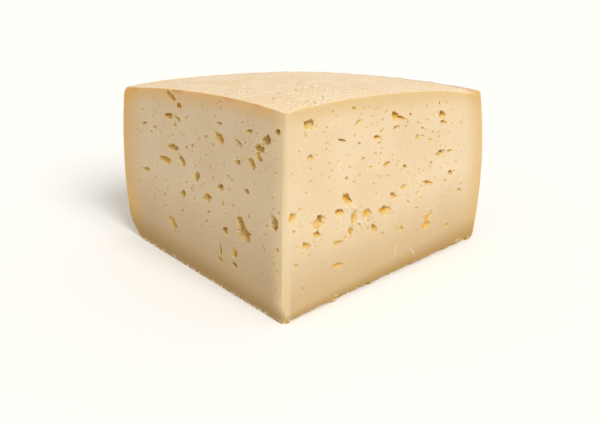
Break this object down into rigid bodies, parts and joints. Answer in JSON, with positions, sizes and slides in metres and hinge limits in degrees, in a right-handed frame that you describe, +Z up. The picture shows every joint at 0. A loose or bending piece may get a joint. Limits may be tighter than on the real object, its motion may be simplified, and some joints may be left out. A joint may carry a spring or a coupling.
{
  "type": "asiago cheese wedge",
  "caption": "Wedge of pressed cow's milk cheese with a domed rind top, a curved rind side and two flat cut faces full of small irregular eyes.",
  "frame": {"origin": "under the middle of the wedge's box, on the surface that it stands on", "axes": "+Z up, -Y from the curved rind side towards the narrow tip, +X to the right of someone who faces the tip"},
  "size_m": [0.2468, 0.191, 0.1294],
  "materials": {
    "paste": "moist, slightly glossy pale cheese paste under a thin matt straw-coloured rind"
  },
  "bodies": {
    "root": {"cheese_wedge": "paste"}
  },
  "joints": []
}
